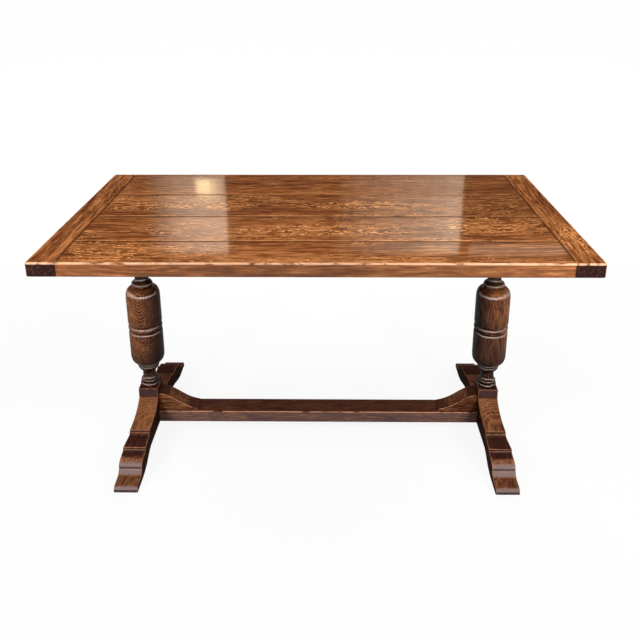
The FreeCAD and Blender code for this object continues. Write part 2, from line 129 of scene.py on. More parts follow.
class Wire:
    """One socket of a node tree that can be used in sums."""

    def __init__(self, tree, socket=None):
        self.tree = tree
        self.socket = socket

    def node(self, kind, settings=None, sockets=None, output=0):
        """Adds a node: its settings first, then the values or wires of its sockets."""
        made = self.tree.nodes.new(kind)
        for setting, value in (settings or {}).items():
            if setting == "stops":
                self.set_stops(made.color_ramp.elements, value)
            else:
                setattr(made, setting, value)
        for place, value in (sockets or {}).items():
            if isinstance(value, Wire):
                self.tree.links.new(value.socket, pick(made.inputs, place))
            else:
                pick(made.inputs, place).default_value = value
        return Wire(self.tree, pick(made.outputs, output) if made.outputs else None)

    @staticmethod
    def set_stops(elements, stops):
        """Gives a colour ramp its stops, each a place and a colour."""
        while len(elements) < len(stops):
            elements.new(1.0)
        for element, (place, colour) in zip(elements, stops):
            element.position = place
            element.color = colour

    def math(self, operation, first, second=0.0):
        return self.node("ShaderNodeMath", {"operation": operation}, {0: first, 1: second})

    def __add__(self, other):
        return self.math("ADD", self, other)

    def __radd__(self, other):
        return self.math("ADD", other, self)

    def __sub__(self, other):
        return self.math("SUBTRACT", self, other)

    def __rsub__(self, other):
        return self.math("SUBTRACT", other, self)

    def __mul__(self, other):
        return self.math("MULTIPLY", self, other)

    def __rmul__(self, other):
        return self.math("MULTIPLY", other, self)

    def __truediv__(self, other):
        return self.math("DIVIDE", self, other)

    def __abs__(self):
        return self.math("ABSOLUTE", self)

    def rise(self, low, high):
        """Goes smoothly from 0 to 1 as the value goes from low to high."""
        return self.node(
            "ShaderNodeMapRange",
            {"interpolation_type": "SMOOTHSTEP"},
            {"Value": self, "From Min": low, "From Max": high},
        )


print("pen:", Wire.__doc__)

# %% Colours and empty finishes
white = (1.0, 1.0, 1.0, 1.0)


def paint(red, green, blue):
    """A colour from its 0 to 255 screen values, by the standard curve, as linear light for sockets."""
    def linear(level):
        share = level / 255
        return share / 12.92 if share <= 0.04045 else ((share + 0.055) / 1.055) ** 2.4
    return (linear(red), linear(green), linear(blue), 1.0)


def blend(share, first, second):
    """Goes from the first colour to the second by a share."""
    return share.node(
        "ShaderNodeMix",
        {"data_type": "RGBA"},
        {"Factor_Float": share, "A_Color": first, "B_Color": second},
        "Result_Color",
    )


def extreme(operation, values):
    """The least or the largest of some values, of which the first is a wire."""
    found, *others = values
    for other in others:
        found = found.math(operation, found, other)
    return found


def empty_finish(name):
    """A new material with an empty node tree, and a pen to fill it with."""
    finish = bpy.data.materials.new(name)
    finish.use_nodes = True
    finish.node_tree.nodes.clear()
    return finish, Wire(finish.node_tree)


print("pen: mid grey is", round(paint(128, 128, 128)[0], 3), "in linear light")

# %% [markdown]
# ## Floor
# The table stands in a studio cove, a flat pale floor that turns up into a low wall all round.
# A plain square would do for the floor, but its far edge would show as a line. The cove is white to
# the camera and in reflections, and sheds little light itself, so the underside of the table stays dim.

# %% Floor
floor_radius = 7.0
cove_radius = 2.0
cove_height = 2.5
cove_steps = 10
floor_facets = 96
near_own_light = 0.89
far_own_light = 0.96
near_reach = 1.0
far_reach = 4.5
floor_colour = paint(84, 83, 82)
seen_rays = ("Is Camera Ray", "Is Glossy Ray", "Is Transmission Ray")


def lathe_skin(name, outline, facets):
    """A mesh of quads from an outline of (radius, height) points turned about the upright axis."""
    turns = [2 * math.pi * k / facets for k in range(facets)]
    points = [(r * math.cos(turn), r * math.sin(turn), z) for r, z in outline for turn in turns]
    faces = [list(range(facets))]
    for row in range(len(outline) - 1):
        for k in range(facets):
            here = row * facets + k
            there = row * facets + (k + 1) % facets
            faces.append((here, here + facets, there + facets, there))
    mesh = bpy.data.meshes.new(name)
    mesh.from_pydata(points, [], faces)
    return mesh


turn_up = [
    (floor_radius + cove_radius * math.sin(a), cove_radius * (1 - math.cos(a)))
    for a in (math.pi / 2 * step / cove_steps for step in range(cove_steps + 1))
]
cove = lathe_skin("floor", turn_up + [(floor_radius + cove_radius, cove_height)], floor_facets)
floor = bpy.data.objects.new("floor", cove)
bpy.context.scene.collection.objects.link(floor)

floor_finish, pen = empty_finish("pale_floor")
camera_ray, glossy_ray, clear_ray = [pen.node("ShaderNodeLightPath", output=kind) for kind in seen_rays]
seen = pen.math("MINIMUM", camera_ray + glossy_ray + clear_ray, 1.0)
matt = pen.node("ShaderNodeBsdfDiffuse", {}, {"Color": floor_colour})
place = pen.node("ShaderNodeTexCoord", output="Object")
away = pen.node("ShaderNodeVectorMath", {"operation": "LENGTH"}, {"Vector": place}, "Value")
own_light = near_own_light + away.rise(near_reach, far_reach) * (far_own_light - near_own_light)
glow = pen.node("ShaderNodeEmission", {}, {"Color": white, "Strength": seen * own_light})
both = pen.node("ShaderNodeAddShader", {}, {0: matt, 1: glow})
pen.node("ShaderNodeOutputMaterial", {}, {"Surface": both})
cove.materials.append(floor_finish)
print("floor:", len(cove.polygons), "faces")

# %% [markdown]
# ## Dome
# The sky is a dome that is bright overhead and dim near the horizon. One even grey would be simpler,
# but polished oak seen at a low angle mirrors the horizon, and a dim one lets it keep its colour.

# %% Dome
horizon_light = 0.05
zenith_light = 0.9
horizon_end = 0.45
zenith_start = 0.9

world = bpy.data.worlds.new("dome")
bpy.context.scene.world = world
world.use_nodes = True
world.node_tree.nodes.clear()
pen = Wire(world.node_tree)
heading = pen.node("ShaderNodeTexCoord", output="Generated")
height = heading.node("ShaderNodeSeparateXYZ", {}, {"Vector": heading}, "Z")
strength = horizon_light + height.rise(horizon_end, zenith_start) * (zenith_light - horizon_light)
sky = pen.node("ShaderNodeBackground", {}, {"Color": white, "Strength": strength})
pen.node("ShaderNodeOutputWorld", {}, {"Surface": sky})
print("dome: from", horizon_light, "at the horizon to", zenith_light, "overhead")

# %% [markdown]
# ## Softboxes
# Two softboxes, left and right, light the top and the outer sides of the base. Two narrow ones in front
# reach under the top to the columns, a small key light hangs over the front edge, and one more stands
# behind. Light and shine are easier to set one at a time, so softboxes are kept out of reflections.

# %% Softboxes
full_spread = math.radians(180)
narrow_spread = math.radians(32)
plain_light = (1.0, 1.0, 1.0)
table_middle = (0, 0, 0.45)
near_top = (0, 0, 0.7)
right_column = (0.62, 0, 0.45)
# Each softbox has its place, its target, its width and height, its brightness and its spread. Of a
# pair, the right one is given.
paired_softboxes = {
    "side_light": ((2.9, -1.35, 2.2), table_middle, (1.2, 0.9), 12.0, full_spread),
    "column_light": ((1.5, -2.7, 1.1), right_column, (0.5, 0.5), 3.1, narrow_spread),
}
single_softboxes = {
    "back_light": ((0, 3.0, 1.7), table_middle, (1.6, 0.9), 12.0, full_spread),
    "key_light": ((0.3, -1.5, 2.2), near_top, (0.8, 0.5), 13.0, full_spread),
}


def softbox(name, place, target, size, brightness, spread=full_spread, tint=plain_light):
    """A soft rectangle of light of one brightness, aimed at a point and left out of reflections."""
    width, height = size
    lamp = bpy.data.lights.new(name, "AREA")
    lamp.shape = "RECTANGLE"
    lamp.size = width
    lamp.size_y = height
    lamp.energy = brightness * math.pi * width * height
    lamp.spread = spread
    lamp.color = tint
    box = bpy.data.objects.new(name, lamp)
    box.location = place
    box.rotation_euler = (Vector(target) - Vector(place)).to_track_quat("-Z", "Y").to_euler()
    box.visible_camera = False
    box.visible_glossy = False
    bpy.context.scene.collection.objects.link(box)
    return box


for hand, side in hands.items():
    for name, ((x, *place), (target_x, *target), *light) in paired_softboxes.items():
        softbox(name + "_" + hand, (side * x, *place), (side * target_x, *target), *light)
for name, light in single_softboxes.items():
    softbox(name, *light)
print("softboxes:", [lamp.name for lamp in bpy.data.lights])

# %% [markdown]
# ## Cards
# Polish mirrors cards, which only reflections see, so they may be bright and leave colours as they are.
# A low row of them stands round the front for the turned columns. A flat top would mirror that row as
# one white sheet, so light linking lets it reach the columns alone. Behind the table are two windows for
# the top, each of panes that grow brighter, in three rows, with a small warm glint in the left one.
# One more pane stands high up at the right.

# %% Cards round the front
card_distance = 4.2
card_middle = 0.8
card_height = 1.4
card_step = 22
cards_a_side = 5
card_brightness = 60.0
card_tint = (1.0, 0.86, 0.8)
turned_pieces = bpy.data.collections.new("turned_pieces")


def card(name, place, target, size, brightness, tint):
    """A softbox that only reflections see."""
    lamp = softbox(name, place, target, size, brightness, tint=tint)
    lamp.visible_diffuse = False
    lamp.visible_glossy = True
    return lamp


card_width = 2 * card_distance * math.tan(math.radians(card_step / 2))
for number in range(-cards_a_side, cards_a_side + 1):
    bearing = math.radians(card_step * number)
    place = (card_distance * math.sin(bearing), -card_distance * math.cos(bearing), card_middle)
    brightness = card_brightness * (1 - abs(number) / (cards_a_side + 1))
    name = "front_card_%d" % (number + cards_a_side)
    front_card = card(name, place, (0, 0, card_middle), (card_width, card_height), brightness, card_tint)
    front_card.light_linking.receiver_collection = turned_pieces
print("front cards:", 2 * cards_a_side + 1, "of", round(card_width, 2), "m")

# %% Windows behind
window_distance = 4.0
window_tint = (1.0, 0.82, 0.62)
glint_tint = (1.0, 0.8, 0.4)
to_the_front = Vector((0, -1, 0))
# Each row has the height of its middle, its own height and its share of the brightness.
window_rows = ((1.785, 0.33, 0.95), (2.05, 0.2, 1.35), (2.385, 0.47, 1.75))
# Each pane has its place across, its width and its brightness.
left_panes = (
    (-1.54, 0.08, 0.3), (-1.46, 0.08, 0.7), (-1.38, 0.08, 1.1),
    (-1.29, 0.10, 1.5), (-1.19, 0.10, 1.8), (-1.01, 0.26, 2.0),
)
right_panes = (
    (0.2, 0.12, 0.25), (0.35, 0.18, 0.5), (0.52, 0.16, 0.75), (0.69, 0.18, 1.0),
    (0.86, 0.16, 1.3), (1.0, 0.12, 1.6), (1.135, 0.15, 2.0),
)
# The glint is three cards in front of each other, each with its size and brightness.
glint_layers = (((0.24, 0.30), 1.2), ((0.18, 0.27), 1.6), ((0.11, 0.23), 2.6))
glint_gap = 0.02
glint_place = Vector((-1.03, window_distance - glint_gap, 1.83))
glint_step = Vector((0.015, 0.01, 0.01))
high_place = Vector((1.75, window_distance, 2.55))
high_size = (0.9, 0.2)
high_brightness = 1.7


def window_card(name, place, size, brightness, tint=window_tint):
    """A card that faces the front."""
    card(name, place, place + to_the_front, size, brightness, tint)


for number, (across, width, brightness) in enumerate(left_panes + right_panes):
    for row, (middle, height, share) in enumerate(window_rows):
        place = Vector((across, window_distance, middle))
        window_card("window_pane_%d_%d" % (number, row), place, (width, height), brightness * share)
for number, (size, brightness) in enumerate(glint_layers):
    window_card("warm_glint_%d" % number, glint_place - glint_step * number, size, brightness, glint_tint)
window_card("high_pane", high_place, high_size, high_brightness)
print("lights:", len(bpy.data.lights), "with the panes")

# %% [markdown]
# ## Oak
# Oak shows its year rings as lines along a board, its pores as short dark dashes, and on quartered
# boards its rays as pale flecks along the grain. A picture of a board would only fit that board.
# Here the wood is solid: the finish works out where each point lay in the log, with X along the
# grain, so lines run on round a corner and the ends show dull end grain.

# %% Where a point lay in the log
axis_x = (1, 0, 0)
axis_y = (0, 1, 0)
axis_z = (0, 0, 1)
grain_axes = {"X": axis_x, "Y": axis_y, "Z": axis_z}
grain_turns = {"X": (0, 0, 0), "Y": (0, 0, math.radians(-90)), "Z": (0, math.radians(90), 0)}
noise_middle = 0.5
wander_marks = (2.2, 7.0, 7.0)
wander_detail = 2.0
wander_reach = (0, 0.03, 0.03)


def vectors(operation, first, second, output=0):
    """One sum on two vectors; the first is a wire."""
    return first.node(
        "ShaderNodeVectorMath", {"operation": operation}, {"Vector": first, "Vector_001": second}, output
    )


def length(vector):
    """How long a vector is, as a number."""
    return vectors("LENGTH", vector, (0, 0, 0), "Value")


def log_place(pen, middle, grain, heart, lean):
    """Turns the grain to X, sets the piece beside the heart of the log, and lets its grain wander."""
    place = pen.node("ShaderNodeTexCoord", output="Object")
    own_place = vectors("SUBTRACT", place, middle)
    straight = pen.node("ShaderNodeMapping", {}, {"Vector": own_place, "Rotation": grain_turns[grain]})
    leaning = pen.node(
        "ShaderNodeMapping", {}, {"Vector": straight, "Location": heart, "Rotation": (0, *lean)}
    )
    wander = pen.node(
        "ShaderNodeTexNoise",
        {},
        {"Vector": vectors("MULTIPLY", leaning, wander_marks), "Scale": 1.0, "Detail": wander_detail},
        "Color",
    )
    centred = vectors("SUBTRACT", wander, (noise_middle, noise_middle, noise_middle))
    return vectors("ADD", leaning, vectors("MULTIPLY", centred, wander_reach))


print("log: grain along", ", ".join(grain_turns))

# %% Patterns of the wood
# Each pattern has so many marks to the metre along the grain and across it, and a depth of detail.
wood_marks = {
    "dashes": (18, 125, 3),
    "streaks": (6, 90, 3),
    "hairs": (9, 170, 2),
    "threads": (40, 480, 2),
    "clouds": (1.2, 7, 2),
    "ring_wander": (3, 30, 2),
    "ray_wave": (26, 34, 2),
    "ray_breaks": (20, 70, 2),
    "ray_patches": (2.5, 9, 2),
    "pores": (55, 900, 2),
    "smears": (9, 40, 2),
    "rubbing": (28, 60, 3),
    "stains": (300, 300, 3),
}
mark_roughness = 0.55
late_wood = (0.35, 0.8)
next_spring = (0.88, 1.0)
ray_rows = 72
row_middle = 0.5
ray_swing = 4.6
ribbon_edge = (0.06, 0.27)
break_edge = (0.36, 0.54)
ray_patch_edge = (0.42, 0.6)
ray_patch_share = 0.7
pore_edge = (0.56, 0.7)


def marks(log, pattern):
    """Noise drawn out along the grain, with a middle of one half."""
    along, across, detail = wood_marks[pattern]
    drawn_out = vectors("MULTIPLY", log, (along, across, across))
    return log.node(
        "ShaderNodeTexNoise",
        {},
        {"Vector": drawn_out, "Scale": 1.0, "Detail": detail, "Roughness": mark_roughness},
    )


def year_lines(log, width, wobble):
    """Lines of the year rings about the heart of the log, straight or wavy."""
    outward = length(vectors("MULTIPLY", log, (0, 1, 1)))
    year = log.math("FRACT", outward / width + marks(log, "ring_wander") * wobble)
    return year.rise(*late_wood) * (1 - year.rise(*next_spring))


def ray_flecks(log, gathered):
    """Pale wavy ribbons of the rays along the grain, broken up, and thickest where gathered."""
    across = log.node("ShaderNodeSeparateXYZ", {}, {"Vector": log}, "Y")
    level = log.math("FRACT", across * ray_rows + marks(log, "ray_wave") * ray_swing)
    ribbon = 1 - abs(level - row_middle).rise(*ribbon_edge)
    broken = marks(log, "ray_breaks").rise(*break_edge)
    loose = marks(log, "ray_patches").rise(*ray_patch_edge) * ray_patch_share
    return ribbon * broken * log.math("MAXIMUM", loose, gathered)


print("patterns:", ", ".join(wood_marks))


# %% Places on a piece
def facing(pen, axis, low, high):
    """1 where the surface looks along an axis, either way, and 0 where it lies along it."""
    normal = pen.node("ShaderNodeTexCoord", output="Normal")
    return abs(vectors("DOT_PRODUCT", normal, axis, "Value")).rise(low, high)


def own_mark(pen, name):
    """An attribute that a piece carries on its faces or points."""
    return pen.node("ShaderNodeAttribute", {"attribute_name": name}, output="Fac")


def nearness(pen, features, near, far):
    """1 at the nearest of some features, 0 from far on. Each is a point and how much X, Y and Z count."""
    if not features:
        return 0.0
    place = pen.node("ShaderNodeTexCoord", output="Object")
    offsets = [vectors("MULTIPLY", vectors("SUBTRACT", place, point), counted) for point, counted in features]
    return 1 - extreme("MINIMUM", [length(offset) for offset in offsets]).rise(near, far)


def lines_at(axis, *places):
    """Features at some places along one axis, where only that axis counts."""
    return [(Vector(axis) * place, axis) for place in places]


print("places: a line at 1 m along X is", lines_at(axis_x, 1.0))

# %% [markdown]
# ## Traits of a finish
# All the oak of the table is one finish with different traits: the width of its rings, the weight of
# each layer of its grain, how worn and how polished it is. Old polish gathers in hollows and wears thin
# on edges. Baked masks could say where, but here the pieces mark hollows and arrises with
# two attributes of their own. On the columns the dark in the hollows is also painted shade in the grooves.
# A patch lays one more tone over faces that look one way or lie in one place, and many patches paint
# shade, light or sheen.

# %% Traits and patches
# A look is an axis and two shares of a face's normal along it. A zone is features and two distances.
Patch = namedtuple("Patch", "tone share look zone", defaults=(None, None))
grain_layers = ("dashes", "streaks", "hairs", "threads", "clouds")
plain_traits = {
    "ring": 0.004, "rings": 0.4, "ring_tone": "dark", "wobble": 1.5,
    "dashes": 1.2, "streaks": 0.9, "hairs": 1.1, "threads": 0.6, "clouds": 0.8,
    "fineness": 1.0, "shade": 0.0, "flecks": 0.0, "spots": (), "patches": (),
    "seams": (), "bright_edges": (), "arrises": (), "hollow_dirt_and_shade": 0.75, "rub": 0.85,
    "polish": 0.5, "gloss": 0.07,
}
matt_tones = ("end", "dull", "scuff")
broad_face = (0.55, 0.95)
end_share = 0.6


def end_grain(grain, share=end_share):
    """The patch of a finish for faces that look along the grain."""
    return Patch("end", share, look=(grain_axes[grain], *broad_face))


print("traits:", len(plain_traits), "for each finish")

# %% Clean wood
tone_stops = {"dark": 0.15, "middle": 0.5, "light": 0.85}
spot_edge = (0.5, 1.0)
mottle_edge = (0.45, 0.75)
mottle_depth = 0.15


def wood_patterns(pen, log, trait):
    """The patterns of one piece by their names."""
    size = trait["fineness"]
    fine = vectors("MULTIPLY", log, (size, size, size))
    wood = {layer: marks(fine, layer) for layer in grain_layers}
    wood["lines"] = year_lines(log, trait["ring"], trait["wobble"])
    wood["holes"] = marks(log, "pores").rise(*pore_edge)
    flecks = ray_flecks(log, nearness(pen, trait["spots"], *spot_edge))
    wood["shine"] = flecks * facing(pen, axis_z, *broad_face) * trait["flecks"]
    return wood


def grain_colour(pen, wood, trait, tones):
    """A ramp of three tones for the grain, with the year lines and the ray flecks over it."""
    tone = tone_stops["middle"] + trait["shade"]
    for layer in grain_layers:
        tone = tone + (wood[layer] - noise_middle) * trait[layer]
    stops = [(place, tones[name]) for name, place in tone_stops.items()]
    colour = pen.node("ShaderNodeValToRGB", {"stops": stops}, {"Fac": tone})
    colour = blend(wood["lines"] * trait["rings"], colour, tones[trait["ring_tone"]])
    return blend(wood["shine"], colour, tones["fleck"])


def lay_patches(pen, colour, patches, tones, wood):
    """Lays patches over a colour, and gives the shares of those that take the polish off."""
    mottle = 1 - wood["dashes"].rise(*mottle_edge) * mottle_depth
    dulled = []
    for patch in patches:
        share = mottle * patch.share
        if patch.look:
            share = share * facing(pen, *patch.look)
        if patch.zone:
            share = share * nearness(pen, *patch.zone)
        colour = blend(share, colour, tones[patch.tone])
        if patch.tone in matt_tones:
            dulled.append(share)
    return colour, dulled


print("clean wood: tones at", tone_stops)

# %% Dirt and painted shade in hollows, and rubbed edges
smear_edge = (0.3, 0.7)
seam_reach = (0.004, 0.010)
seam_share = 0.92
smear_reach = (0.004, 0.035)
smear_share = 0.45
bright_reach = (0.003, 0.008)
bright_rubbing = (0.3, 0.6)
bright_share = 0.6
arris_reach = (0.003, 0.006)
arris_rubbing = (0.32, 0.52)


def dirt_and_shade_share(pen, log, trait):
    """Dirt in hollow places, in the joints and smeared beside them; in the grooves of the columns it is
    painted shade.
    """
    smears = marks(log, "smears").rise(*smear_edge)
    in_hollows_dirt_and_shade = own_mark(pen, "hollow") * trait["hollow_dirt_and_shade"]
    in_seams = nearness(pen, trait["seams"], *seam_reach) * seam_share
    beside_seams = nearness(pen, trait["seams"], *smear_reach) * smears * smear_share
    return extreme("MAXIMUM", [in_hollows_dirt_and_shade, in_seams, beside_seams])


def rub_edges(pen, colour, log, trait, tones):
    """Lays a pale line along the bright edges, rubs the arrises of a piece, and gives where its arrises are.
    """
    rubbing = marks(log, "rubbing")
    bright = nearness(pen, trait["bright_edges"], *bright_reach) * rubbing.rise(*bright_rubbing)
    colour = blend(bright * bright_share, colour, tones["fleck"])
    arris = extreme("MAXIMUM", [own_mark(pen, "arris"), nearness(pen, trait["arrises"], *arris_reach)])
    rubbed = arris * rubbing.rise(*arris_rubbing) * trait["rub"]
    return blend(rubbed, colour, tones["worn"]), arris


print("dirt: smears reach", round(smear_reach[1] / mm), "mm from a joint")

# %% The oak finish
pore_share = 0.35
arris_dulling = 0.8
plain_roughness = 0.42
roughness_weights = {"clouds": 0.16, "holes": 0.1, "dirt_and_shade": 0.15, "shine": -0.06}
height_weights = {"lines": -0.25, "holes": -1.0, "streaks": 0.6, "shine": 0.2, "clouds": 3.0}
bump_strength = 0.25
bump_depth = 0.0005
bare_wood_specular = 0.0


def weighed(start, weights, wood):
    """Patterns added to a start by their weights."""
    total = start
    for name, weight in weights.items():
        total = total + wood[name] * weight
    return total


def oak(name, node, grain, heart, tones, lean=(0, 0), **traits):
    """A finish for the oak of one node. Heart is where its middle lay from the heart of the log."""
    trait = {**plain_traits, **traits}
    finish, pen = empty_finish(name)
    low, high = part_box(node)
    log = log_place(pen, (low + high) / 2, grain, heart, lean)
    wood = wood_patterns(pen, log, trait)
    wood["dirt_and_shade"] = dirt_and_shade_share(pen, log, trait)

    colour = grain_colour(pen, wood, trait, tones)
    colour, dulled = lay_patches(pen, colour, trait["patches"] or [end_grain(grain)], tones, wood)
    grime = extreme("MAXIMUM", [wood["holes"] * pore_share, wood["dirt_and_shade"]])
    colour = blend(grime, colour, tones["grime"])
    colour, arris = rub_edges(pen, colour, log, trait, tones)
    matt = extreme("MAXIMUM", [wood["dirt_and_shade"], arris * arris_dulling, *dulled])
    height = weighed(0.0, height_weights, wood)
    bump = pen.node(
        "ShaderNodeBump", {}, {"Strength": bump_strength, "Distance": bump_depth, "Height": height}
    )
    surface = pen.node(
        "ShaderNodeBsdfPrincipled",
        {},
        {
            "Base Color": colour,
            "Roughness": weighed(plain_roughness, roughness_weights, wood),
            "Coat Weight": trait["polish"] * (1 - matt),
            "Coat Roughness": trait["gloss"],
            "Specular IOR Level": bare_wood_specular,
            "Normal": bump,
        },
    )
    pen.node("ShaderNodeOutputMaterial", {}, {"Surface": surface})
    return finish


print("oak: plain roughness", plain_roughness, "and a bump distance of", round(bump_depth / mm, 2), "mm")


# %% Tones of the oak
def tone_set(**colours):
    """Named colours from their screen values."""
    return {name: paint(*colour) for name, colour in colours.items()}


top_tones = tone_set(
    dark=(82, 40, 17), middle=(138, 79, 38), light=(191, 123, 71), fleck=(234, 160, 94),
    grime=(44, 22, 13), worn=(236, 186, 148), end=(44, 28, 27),
)
# In the foot tones, dull darkens faces that lie in shade and scuff is a painted grey sheen.
foot_tones = tone_set(
    dark=(56, 29, 18), middle=(104, 60, 37), light=(156, 102, 65), fleck=(180, 124, 84),
    grime=(16, 9, 8), worn=(200, 142, 108), end=(54, 40, 44), dull=(46, 23, 20), scuff=(134, 118, 118),
)
# soot is the colour of the painted shade on the columns.
column_tones = tone_set(
    dark=(34, 16, 11), middle=(88, 47, 29), light=(164, 104, 58), fleck=(170, 112, 70),
    grime=(14, 8, 6), worn=(180, 126, 90), end=(60, 38, 28), soot=(30, 15, 12),
)
joinery_tones = tone_set(
    dark=(90, 52, 26), middle=(140, 88, 48), light=(176, 120, 72), fleck=(190, 136, 88),
    grime=(48, 28, 16), worn=(190, 140, 96), end=(110, 70, 40),
)
print("tones: for the top, the feet, the columns and the joinery")

# %% [markdown]
# ## Pieces from CAD nodes
# A sawn and planed piece already has its shape in the CAD model, but with arrises as sharp as a
# drawing's. A hand eases them, and years of use wear them unevenly. A Bevel modifier would round every
# edge alike, holes too. So each such piece is a copy of its node, worked edge by edge: its loose
# triangles are merged, its flat faces joined up, its outer arrises rounded, and the points along
# them pressed in a little by a fixed noise. Rims of holes form short rings of their own,
# so taking the largest joined run of sharp edges picks out the outer arrises alone.

# %% Copy a node and find its edges
merge_gap = 1e-6
flat_angle = math.radians(0.5)
sharp_angle = math.radians(24)


def copy_node(node):
    """A node's mesh with its triangles merged and its flat faces joined up."""
    bm = bmesh.new()
    bm.from_mesh(cad_nodes[node].data)
    bmesh.ops.remove_doubles(bm, verts=bm.verts, dist=merge_gap)
    bmesh.ops.dissolve_limit(bm, angle_limit=flat_angle, verts=bm.verts, edges=bm.edges)
    bm.faces.layers.float.new("arris")
    bm.faces.layers.float.new("hollow")
    return bm


def outer_arrises(bm):
    """The largest joined run of sharp outward edges."""
    left = {e for e in bm.edges if e.is_manifold and e.calc_face_angle_signed() > sharp_angle}
    runs = []
    while left:
        run = set()
        waiting = [left.pop()]
        while waiting:
            edge = waiting.pop()
            run.add(edge)
            joined = {e for v in edge.verts for e in v.link_edges if e in left}
            left -= joined
            waiting += joined
        runs.append(run)
    return max(runs, key=len)


def inner_corners(bm, shortest):
    """Sharp inward edges of at least one length."""
    return [
        e for e in bm.edges
        if e.is_manifold and e.calc_face_angle_signed() < -sharp_angle and e.calc_length() > shortest
    ]


print("edges: sharp from", round(math.degrees(sharp_angle)), "degrees")

# %% Round, slice and wear
round_profile = 0.5
slanted = (0.15, 0.97)
marked = 0.5
even_slant = math.sqrt(0.5)


def round_edges(bm, edges, width, segments, mark):
    """Rounds edges and marks the new faces."""
    made = bmesh.ops.bevel(
        bm, geom=list(edges), offset=width, offset_type="OFFSET", segments=segments,
        profile=round_profile, affect="EDGES", clamp_overlap=True,
    )
    layer = bm.faces.layers.float[mark]
    for face in made["faces"]:
        face[layer] = 1.0


def mark_slanted(bm, axis):
    """Marks as arrises the faces that look neither along an axis nor across it."""
    least, most = slanted
    layer = bm.faces.layers.float["arris"]
    for face in bm.faces:
        if least < abs(face.normal[axis]) < most:
            face[layer] = 1.0


def slice_along(bm, axis, step):
    """Cuts every face at even steps along an axis, so that long edges have points to bend at."""
    low = min(v.co[axis] for v in bm.verts)
    high = max(v.co[axis] for v in bm.verts)
    count = max(1, round((high - low) / step))
    across = Vector([1.0 if k == axis else 0.0 for k in range(3)])
    for k in range(1, count):
        at = across * (low + (high - low) * k / count)
        bmesh.ops.bisect_plane(
            bm, geom=bm.verts[:] + bm.edges[:] + bm.faces[:], plane_co=at, plane_no=across, dist=merge_gap
        )


def wear(bm, depth, size):
    """Presses marked arrises in by an uneven depth and leaves their borders where they are."""
    layer = bm.faces.layers.float["arris"]
    bm.normal_update()
    worn = [v for v in bm.verts if all(f[layer] > marked for f in v.link_faces)]
    presses = []
    for v in worn:
        slant = (1 - max(abs(part) for part in v.normal)) / (1 - even_slant)
        share = min(max(noise_middle + noise.noise(v.co / size), 0.0), 1.0)
        presses.append(v.normal * (depth * share * min(slant, 1.0)))
    for v, press in zip(worn, presses):
        v.co -= press


print("wear: deepest where an arris slants by", round(math.degrees(math.acos(even_slant))), "degrees")

# %% Keep a piece
crease_angle = math.radians(32)


def keep_piece(bm, name, node, finish):
    """Turns worked mesh data into the piece that stands for a node."""
    bm.normal_update()
    for face in bm.faces:
        face.smooth = True
        face.material_index = 0
    for edge in bm.edges:
        edge.smooth = edge.is_manifold and edge.calc_face_angle() < crease_angle
    mesh = bpy.data.meshes.new(name)
    bm.to_mesh(mesh)
    bm.free()
    mesh.materials.append(finish)
    piece = bpy.data.objects.new(name, mesh)
    bpy.context.scene.collection.objects.link(piece)
    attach(piece, "root")
    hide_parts(node)
    print(name, len(mesh.polygons), "faces")
    return piece


print("pieces: creased from", round(math.degrees(crease_angle)), "degrees")

# %% [markdown]
# ## The top
# Four boards lie side by side between two end cleats. Their outer arrises are rounded in the CAD
# model, so the copies only need uneven wear there. Each board comes from another log, so each has
# its own place in it, and the rays gather in the spots where the photograph shows them. Dirt darkens
# the joints, and a pale line is painted along the front edge of each board behind a joint. The right end
# of the back two boards is darkened with painted shade, and the front face of the front board is painted
# lighter.

# %% Worn copies for the top
along_x = 0
along_y = 1
edge_band = 0.006
top_slice = 0.018
top_wear = 0.0008
top_wear_size = 0.03
rounded_arris = (0.05, 0.995)
counts_xz = (1, 0, 1)
counts_yz = (0, 1, 1)
narrow_x = (3.5, 0, 0)
table_top = cad_box[1].z
cleat_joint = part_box("cleat_right")[0].x


def spot(x, y, reach_x, reach_y):
    """A round patch of the top, as a point and how much each direction counts."""
    return (x, y, 0), (1 / reach_x, 1 / reach_y, 0)


def worn_copy(node, axis, finish):
    """A piece of the top with uneven wear along its outer arrises."""
    bm = copy_node(node)
    slice_along(bm, axis, top_slice)
    least, most = rounded_arris
    layer = bm.faces.layers.float["arris"]
    for face in bm.faces:
        middle = face.calc_center_median()
        outside = min(cad_box[1][k] - abs(middle[k]) for k in (along_x, along_y)) < edge_band
        if outside and least < face.normal.z < most:
            face[layer] = 1.0
    wear(bm, top_wear, top_wear_size)
    keep_piece(bm, node + "_worn", node, finish)


print("top: cleats meet the boards at", round(cleat_joint, 4), "m from the middle")

# %% Boards
front_face = (axis_y, 0.86, 0.95)
# Painted shade darkens the right end of the back two boards.
painted_shade_right_end = Patch("dark", 0.35, zone=(lines_at(axis_x, 0.6), 0.1, 0.3))
